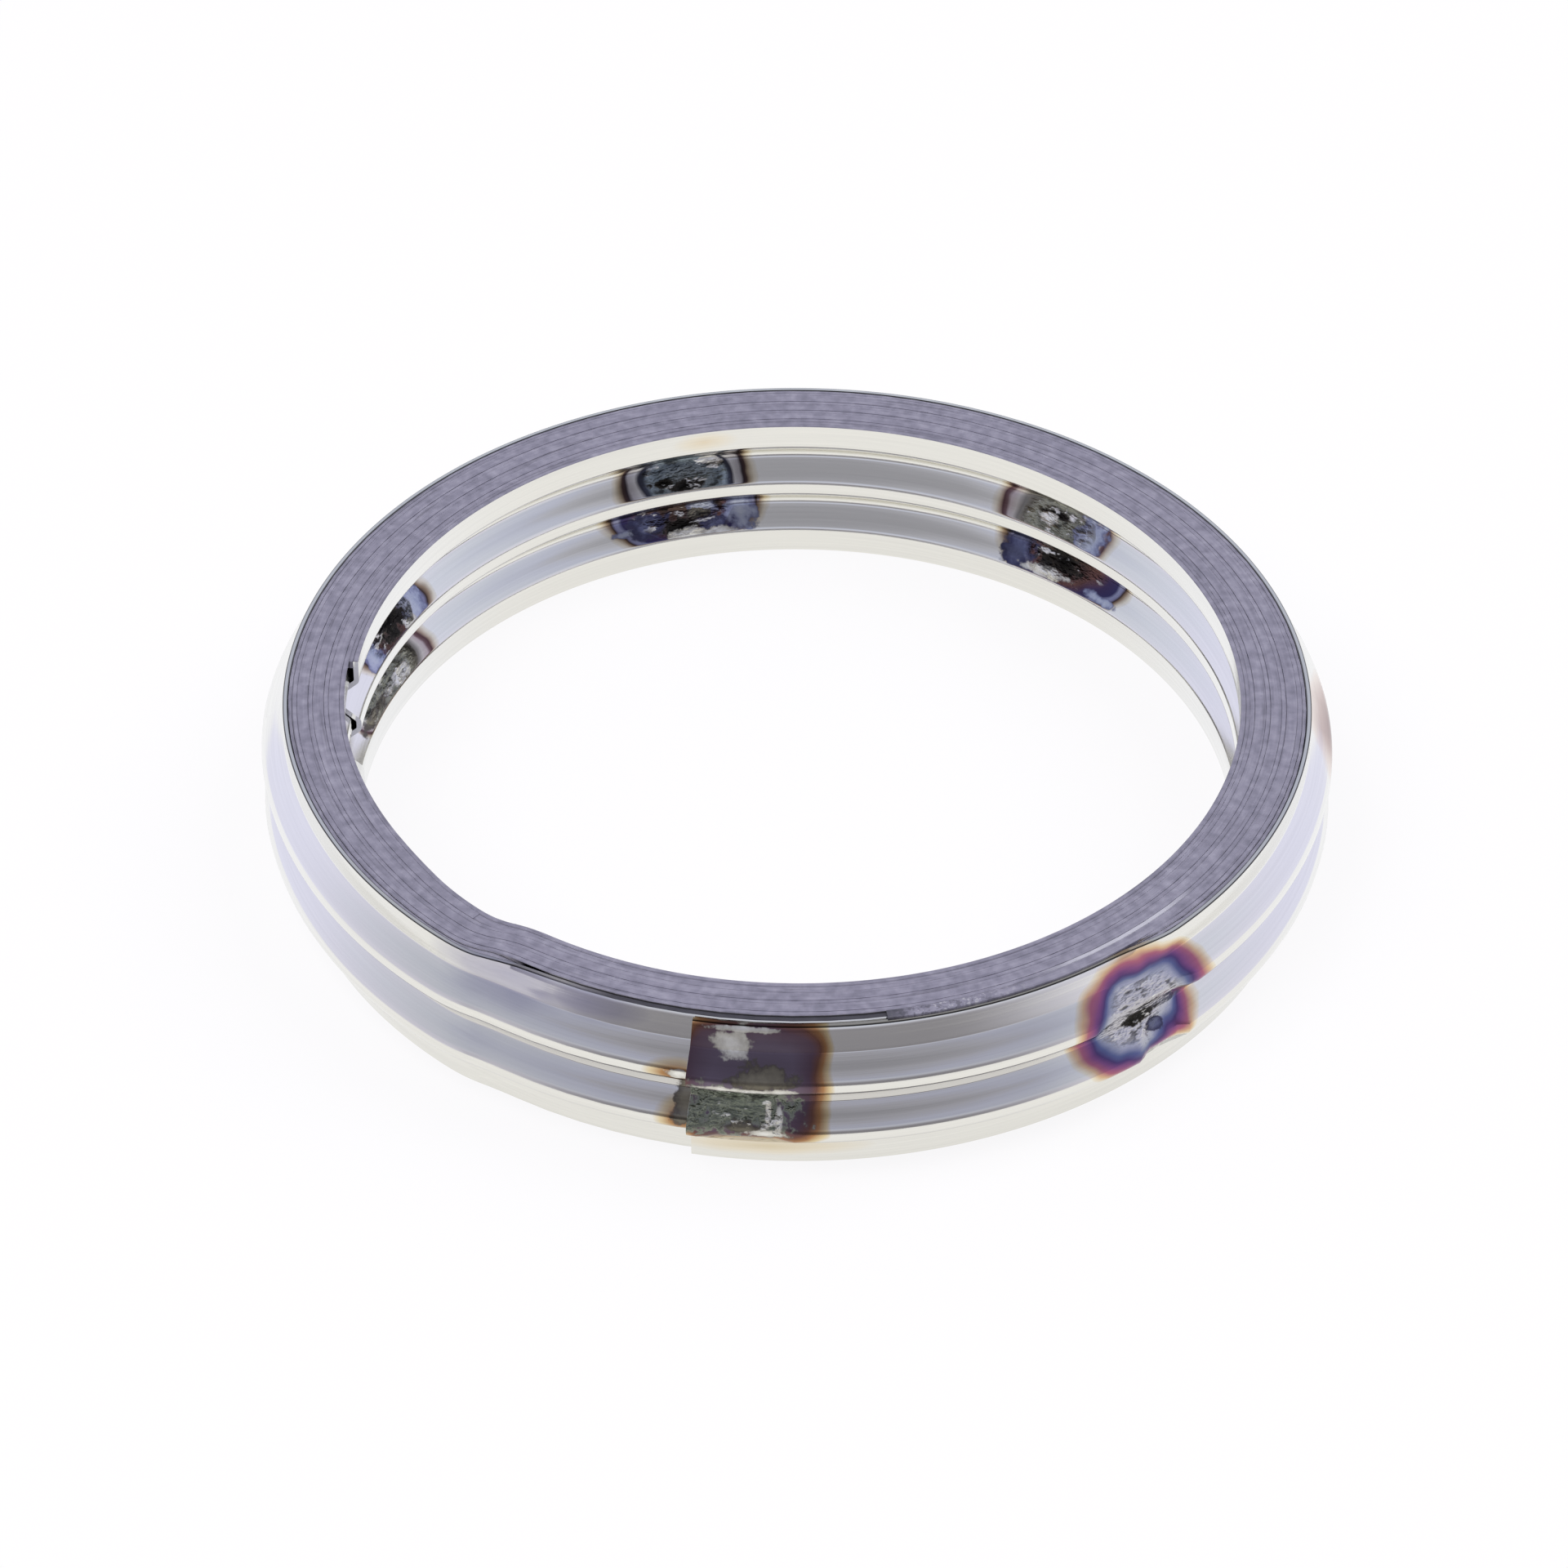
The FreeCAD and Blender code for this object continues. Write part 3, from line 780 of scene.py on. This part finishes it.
def rolled_stainless():
    """Cold-rolled stainless strip: a bright mirror with fine lines along the strip, tinted round its welds, its
    edges on the face dulled by graphite."""
    material, tree = new_material("Rolled stainless strip")
    place, radius, angle, height = round_place(tree)
    wound, level, across = (add_node(tree, "ShaderNodeAttribute", {"attribute_name": name}).outputs["Fac"]
                            for name in ("wound", "level", "across"))
    lines = streaks(tree, radius, angle, height, *STEEL_LINES)
    crumple = streaks(tree, radius, angle, height, *CRUMPLE)
    ripple = noise(tree, place, *RIPPLE)

    layers = steel_layers(tree, wound, radius)
    steel, flank_shaded = steel_with_painted_light(tree, lines, layers, angle, level, across)
    bare, molten, dirty = mark_welds(tree, place, angle, level, layers, steel, flank_shaded)
    melted = steps(tree, molten, *MELTED_DEPTHS)
    # Painted highlights where the crumpling is high, painted shade where it is low
    glints = product(tree, melted, steps(tree, crumple, *PAINTED_GLINTS), PAINTED_GLINTS_SHARE)
    bare = mixed(tree, glints, bare, rgb("ECEAE6"))
    hollow_shade = product(tree, melted, steps(tree, crumple, *HOLLOW_SHADE), HOLLOW_SHADE_SHARE)
    bare = mixed(tree, hollow_shade, bare, rgb("2C2B2A"))
    graphite = rubbed_graphite(tree, place, radius, angle, height)[0]
    colour, smeared = rub_upper_edges(tree, bare, graphite, wound, level, across)

    rough = steps(tree, molten, *ROUGH_DEPTHS)
    rough = math_node(tree, "MULTIPLY_ADD", rough, MELTED_ROUGHNESS, STEEL_ROUGHNESS)
    rough = math_node(tree, "MULTIPLY_ADD", dirty, DIRTY_ROUGHNESS, rough)
    rough = math_node(tree, "MAXIMUM", rough, product(tree, smeared, GRAPHITE_ROUGHNESS))
    relief = product(tree, crumple, melted, CRUMPLE_RELIEF)
    relief = math_node(tree, "MULTIPLY_ADD", lines, LINE_RELIEF, relief)
    relief = math_node(tree, "MULTIPLY_ADD", ripple, RIPPLE_RELIEF, relief)
    add_surface(tree, colour, math_node(tree, "SUBTRACT", 1.0, smeared), rough, relief, STEEL_BUMP)
    return material


# The tape's outermost layer lies outside these radii and ends between these angles. It is crumbled towards its
# end, and right at its end it lies a little lower and is darkened there by painted shade. The crumbs are noise:
# size, detail, roughness.
OUTERMOST_RADII = (18.55 * MM, 18.75 * MM)
TAPE_END_ANGLES = (-90.0, -80.2)
CRUMBLED_ANGLES = (-58.0, -74.0)
SHADED_END_ANGLES, END_SHADE_SHARE = (-76.5, -80.0), 0.8
CRUMBS = (0.2 * MM, 3.0, 0.6)
DARK_CRUMBS, DARK_SHARE = (0.5, 0.6), 0.7
PALE_CRUMBS, PALE_SHARE = (0.42, 0.34), 0.5


def pressed_graphite():
    """Pressed graphite tape: soft, dark grey and almost matt, rubbed in fine lines round the ring, crumbled at
    its outer end."""
    material, tree = new_material("Pressed graphite tape")
    place, radius, angle, height = round_place(tree)
    colour, relief = rubbed_graphite(tree, place, radius, angle, height)
    outermost = steps(tree, radius, *OUTERMOST_RADII)
    crumbled = product(tree, outermost, stretch_of_ring(tree, angle, TAPE_END_ANGLES, CRUMBLED_ANGLES))
    crumbs = noise(tree, place, *CRUMBS)
    pale = product(tree, crumbled, steps(tree, crumbs, *PALE_CRUMBS), PALE_SHARE)
    dark = product(tree, crumbled, steps(tree, crumbs, *DARK_CRUMBS), DARK_SHARE)
    # Painted shade: the tape's end, lower in its slot, is darkened
    end_shade = product(tree, outermost, stretch_of_ring(tree, angle, TAPE_END_ANGLES, SHADED_END_ANGLES),
                     END_SHADE_SHARE)
    for share, hue in ((pale, "B4B2B6"), (dark, "45434D"), (end_shade, "2C2B31")):
        colour = mixed(tree, share, colour, rgb(hue))
    add_surface(tree, colour, 0.0, GRAPHITE_ROUGHNESS, relief, GRAPHITE_BUMP)
    return material


def finish_piece(piece, name, material):
    piece.name = name
    piece.data.name = name
    piece.data.materials.clear()
    piece.data.materials.append(material)
    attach(piece, "root")


class GASKET_OT_steel_winding(bpy.types.Operator):
    """Winds the steel strip and finishes it"""

    bl_idname = "gasket.steel_winding"
    bl_label = "Steel winding"

    def execute(self, context):
        sizes = context.scene.gasket_sizes
        start = outward(0) * run_radius(sizes, 0)
        ribbon = spin_along(section_outline(sizes), start, outward(0), winding_arcs(sizes))
        press_beads(ribbon, sizes)
        lean_land(ribbon, sizes)
        bpy.ops.object.shade_smooth_by_angle(angle=math.radians(35))
        finish_piece(ribbon, "steel_winding", rolled_stainless())
        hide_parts("steel_strip")
        return {"FINISHED"}


class GASKET_OT_graphite_tape(bpy.types.Operator):
    """Gives the soft tape its finish"""

    bl_idname = "gasket.graphite_tape"
    bl_label = "Graphite tape"

    def execute(self, context):
        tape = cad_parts["filler_tape"]
        tape.data.materials.clear()
        tape.data.materials.append(pressed_graphite())
        return {"FINISHED"}


# Graphite that was rubbed into the slots beside the bare turns lies a little under the face: at one depth in the
# inner slot, in the outer one at a shallow depth on the far side and a deep one on the near side, with a fade of
# SMEAR_FADE between them. Where the land leans over it, it lies deeper still. Between the turn and the graphite a
# hairline stays open.
SMEAR_FOOT = 0.35 * MM
SMEAR_HAIRLINE = 0.012 * MM
INNER_SMEAR_DEPTHS = (0.03 * MM, 0.03 * MM)
OUTER_SMEAR_DEPTHS = (0.02 * MM, 0.06 * MM)
LEANING_SMEAR_DEPTH = 0.8 * SMEAR_FOOT
SMEAR_FADE = 10 * MM
OUTER_SMEAR_END = 226.0


def smear_outline(sizes):
    """The four corners of a smear's section."""
    slot = pitches(sizes)[0] - sizes.strip_thickness
    low = sizes.strip_thickness / 2 + SMEAR_HAIRLINE
    high = sizes.strip_thickness / 2 + slot - SMEAR_HAIRLINE
    foot, top = cad_high.z - SMEAR_FOOT, cad_high.z
    return [Vector(corner) for corner in ((low, foot), (high, foot), (high, top), (low, top))]


class GASKET_OT_inner_smear(bpy.types.Operator):
    """Fills the slot outside the first turn with rubbed graphite"""

    bl_idname = "gasket.inner_smear"
    bl_label = "Inner smear"

    def execute(self, context):
        sizes = context.scene.gasket_sizes
        arcs = [run_arc(0, CLIMB_START)] + climb_arcs(0, climb_knots(sizes, 0)[:2])
        start = outward(0) * run_radius(sizes, 0)
        smear = spin_along(smear_outline(sizes), start, outward(0), arcs)
        shape_smear(smear, sizes, 0, INNER_SMEAR_DEPTHS)
        finish_piece(smear, "inner_smear", bpy.data.materials["Pressed graphite tape"])
        return {"FINISHED"}


def slot_spread(sizes, turn, place):
    """How much wider than a bare slot the space outside a turn is, at a wound angle of that turn."""
    knots = zip(climb_knots(sizes, turn), climb_knots(sizes, turn + 1))
    stops = [(inner[1], outer[0] - inner[0] - pitches(sizes)[0]) for inner, outer in knots]
    for (first, spread), (last, next_spread) in zip(stops[:-1], stops[1:]):
        if place < last:
            return spread + (next_spread - spread) * smooth((place - first) / (last - first))
    return stops[-1][1]


def shape_smear(smear, sizes, turn, depths):
    """Spreads a smear where its slot is wider and sinks it under the face."""
    shallow, deep = depths
    middle = sizes.strip_thickness / 2 + (pitches(sizes)[0] - sizes.strip_thickness) / 2
    wound = smear.data.attributes["wound"].data
    across = smear.data.attributes["across"].data
    for index, vertex in enumerate(smear.data.vertices):
        if across[index].value > middle:
            spread = slot_spread(sizes, turn, wound[index].value * 360 - 360 * turn)
            vertex.co += away_from_axis(vertex.co) * spread
        if vertex.co.z > cad_high.z - SMEAR_FOOT / 2:
            leaning = lean_share(round_angle_of(vertex.co)) if turn > 0 else 0
            near = smooth(0.5 - vertex.co.y / SMEAR_FADE)
            vertex.co.z -= max(shallow + (deep - shallow) * near, LEANING_SMEAR_DEPTH * leaning)
        if turn > 0 and (across[index].value > middle or wound[index].value > turn + 1):
            lean_inwards(vertex, sizes)
    smear.data.update()


class GASKET_OT_outer_smear(bpy.types.Operator):
    """Fills the slot inside the last turn with rubbed graphite"""

    bl_idname = "gasket.outer_smear"
    bl_label = "Outer smear"

    def execute(self, context):
        sizes = context.scene.gasket_sizes
        turn = sizes.filler_turns
        arcs = climb_arcs(turn, climb_knots(sizes, turn)) + [run_arc(turn + 1, OUTER_SMEAR_END)]
        start = outward(CLIMB_START) * run_radius(sizes, turn)
        smear = spin_along(smear_outline(sizes), start, outward(CLIMB_START), arcs)
        shape_smear(smear, sizes, turn, OUTER_SMEAR_DEPTHS)
        finish_piece(smear, "outer_smear", bpy.data.materials["Pressed graphite tape"])
        return {"FINISHED"}


# Camera, from the photograph: its height above the horizon, its roll, its distance from the middle of the upper
# face, then in pixels the picture's width, the focal length and where the middle of that face is seen. The
# sensor's width is in millimetres.
CAMERA_HEIGHT = math.radians(38.7)
CAMERA_ROLL = math.radians(0.2)
CAMERA_DISTANCE = 216.7 * MM
PICTURE_WIDTH = 1920
FOCAL_PIXELS = 6917
FACE_CENTRE_PIXELS = (975.3, 842.1)
SENSOR_WIDTH = 36.0
CLIP_NEAR, CLIP_FAR = 0.01, 10.0

# The floor lies just under the part. Where it is seen, directly or as a reflection, it is by the share FLOOR_GLOW
# white light and for the rest lit paper.
FLOOR_SIZE = 4.0
FLOOR_DROP = 0.00002
FLOOR_GLOW = 0.9

# Name, place and power of each lamp
LAMPS = (("key lamp", (-0.25, -0.15, 0.5), 2.2), ("fill lamp", (0.35, 0.1, 0.45), 1.6))
LAMP_SIZE = 0.4

# The room's colours, by the sine of the height above the horizon, and the limits of the darker part in front of
# the ring, by how far it is to the front and by its height
ROOM_COLOURS = ((0.0, "EDEDFD"), (0.34, "E6E6F8"), (0.56, "DADFEF"), (0.70, "C4C9E2"), (0.735, "BFC0CC"),
                (0.79, "A2A3AD"), (1.0, "9D9EA7"))
ROOM_FRONT, ROOM_FRONT_TOP = (0.42, 0.9), (0.6, 0.3)


class GASKET_OT_stage(bpy.types.Operator):
    """Lays the floor and sets the lamps, the sky and the camera"""

    bl_idname = "gasket.stage"
    bl_label = "Stage"

    def execute(self, context):
        add_floor()
        add_lamps()
        add_room()
        add_camera()
        return {"FINISHED"}


def add_floor():
    """White paper ground: plain uncoated paper, matt, and white where it is seen."""
    deselect_all()
    bpy.ops.mesh.primitive_plane_add(size=FLOOR_SIZE, location=(0, 0, -FLOOR_DROP))
    floor = bpy.context.object
    floor.name = "floor"
    material, tree = new_material("White paper ground")
    rays = add_node(tree, "ShaderNodeLightPath").outputs
    seen = math_node(tree, "MAXIMUM", rays["Is Camera Ray"], rays["Is Glossy Ray"])
    paper = add_node(tree, "ShaderNodeBsdfDiffuse", {"Color": rgb("F2F1F2")})
    tone = mixed(tree, rays["Is Camera Ray"], rgb("FDFDFD"), rgb("FDFCFD"))
    white = add_node(tree, "ShaderNodeEmission", {"Strength": 1.0, "Color": tone})
    mix = add_node(tree, "ShaderNodeMixShader", {
        0: product(tree, seen, FLOOR_GLOW), 1: paper.outputs[0], 2: white.outputs[0]})
    add_node(tree, "ShaderNodeOutputMaterial", {"Surface": mix.outputs[0]})
    floor.data.materials.append(material)


def add_lamps():
    for name, place, power in LAMPS:
        deselect_all()
        bpy.ops.object.light_add(type="AREA", location=place)
        lamp = bpy.context.object
        lamp.name = name
        lamp.data.size = LAMP_SIZE
        lamp.data.energy = power
        lamp.rotation_euler = Vector(place).to_track_quat("Z", "Y").to_euler()
        lamp.visible_glossy = False


def add_room():
    """A sky that is white at the horizon, lavender above it and grey overhead, as a light room is."""
    world = bpy.data.worlds.new("light room")
    bpy.context.scene.world = world
    world.use_nodes = True
    tree = world.node_tree
    tree.nodes.clear()
    place = add_node(tree, "ShaderNodeTexCoord").outputs["Generated"]
    axes = add_node(tree, "ShaderNodeSeparateXYZ", {0: place}).outputs
    ramp = add_node(tree, "ShaderNodeValToRGB", {0: axes["Z"]})
    set_stops(ramp, ROOM_COLOURS)
    front = product(tree, steps(tree, product(tree, axes["Y"], -1.0), *ROOM_FRONT),
                    steps(tree, axes["Z"], *ROOM_FRONT_TOP))
    colour = mixed(tree, front, ramp.outputs["Color"], rgb("929199"))
    room = add_node(tree, "ShaderNodeBackground", {"Strength": 1.0, "Color": colour})
    white = add_node(tree, "ShaderNodeBackground", {"Strength": 1.0, "Color": rgb("FDFCFD")})
    rays = add_node(tree, "ShaderNodeLightPath").outputs
    mix = add_node(tree, "ShaderNodeMixShader", {
        0: rays["Is Camera Ray"], 1: room.outputs[0], 2: white.outputs[0]})
    add_node(tree, "ShaderNodeOutputWorld", {"Surface": mix.outputs[0]})


def add_camera():
    """Sets the camera of the photograph."""
    face = Vector((0, 0, cad_high.z))
    back = Vector((0, -math.cos(CAMERA_HEIGHT), math.sin(CAMERA_HEIGHT)))
    turn = back.to_track_quat("Z", "Y").to_matrix()
    right, up = turn.col[0].copy(), turn.col[1].copy()
    across = (PICTURE_WIDTH / 2 - FACE_CENTRE_PIXELS[0]) / FOCAL_PIXELS
    down = (PICTURE_WIDTH / 2 - FACE_CENTRE_PIXELS[1]) / FOCAL_PIXELS
    sight = -back + right * across - up * down
    deselect_all()
    bpy.ops.object.camera_add(location=face + back * CAMERA_DISTANCE)
    camera = bpy.context.object
    camera.name = "camera"
    look = sight.to_track_quat("-Z", "Y").to_matrix() @ Matrix.Rotation(CAMERA_ROLL, 3, "Z")
    camera.rotation_euler = look.to_euler()
    camera.data.sensor_width = SENSOR_WIDTH
    camera.data.lens = FOCAL_PIXELS / PICTURE_WIDTH * SENSOR_WIDTH
    camera.data.clip_start, camera.data.clip_end = CLIP_NEAR, CLIP_FAR
    bpy.context.scene.camera = camera


class GASKET_PT_panel(bpy.types.Panel):
    """Lists the gasket's pieces and sizes"""

    bl_label = "Exhaust gasket"
    bl_idname = "GASKET_PT_panel"
    bl_space_type = "VIEW_3D"
    bl_region_type = "UI"
    bl_category = "Gasket"

    def draw(self, context):
        layout = self.layout
        for operator in OPERATORS:
            layout.operator(operator.bl_idname)
        sizes = context.scene.gasket_sizes
        for name in WindingSizes.__annotations__:
            layout.prop(sizes, name)


OPERATORS = (GASKET_OT_steel_winding, GASKET_OT_graphite_tape, GASKET_OT_inner_smear, GASKET_OT_outer_smear,
             GASKET_OT_stage)
CLASSES = (WindingSizes,) + OPERATORS + (GASKET_PT_panel,)


def register():
    for cls in CLASSES:
        bpy.utils.register_class(cls)
    bpy.types.Scene.gasket_sizes = PointerProperty(type=WindingSizes)


def unregister():
    del bpy.types.Scene.gasket_sizes
    for cls in reversed(CLASSES):
        bpy.utils.unregister_class(cls)


def main():
    register()
    bpy.ops.gasket.steel_winding()
    bpy.ops.gasket.graphite_tape()
    bpy.ops.gasket.inner_smear()
    bpy.ops.gasket.outer_smear()
    bpy.ops.gasket.stage()
    bpy.context.scene.view_settings.view_transform = "Standard"


if __name__ == "__main__":
    main()
